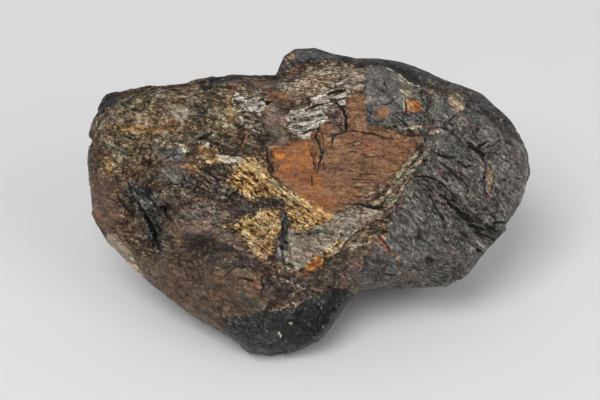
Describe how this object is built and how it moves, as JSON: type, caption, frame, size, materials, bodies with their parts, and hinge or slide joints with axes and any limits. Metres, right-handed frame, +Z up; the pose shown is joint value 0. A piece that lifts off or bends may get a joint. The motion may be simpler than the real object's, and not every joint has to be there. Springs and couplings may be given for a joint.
{
  "type": "iron ore stone",
  "caption": "Hand-sized lump of layered iron ore with a sunken plate, a jutting nose and pitted shoulders, lying on a flat spot.",
  "frame": {"origin": "bottom centre of the stone's bounding box, on the surface that it rests on", "axes": "+X along the stone's length, to the right as the broad face is looked at; +Y away from that face's side; +Z up"},
  "size_m": [0.1501, 0.0894, 0.0828],
  "materials": {
    "ore": "rough, with rusty, golden and silvery patches"
  },
  "bodies": {
    "root": {"iron_ore": "ore"}
  },
  "joints": []
}
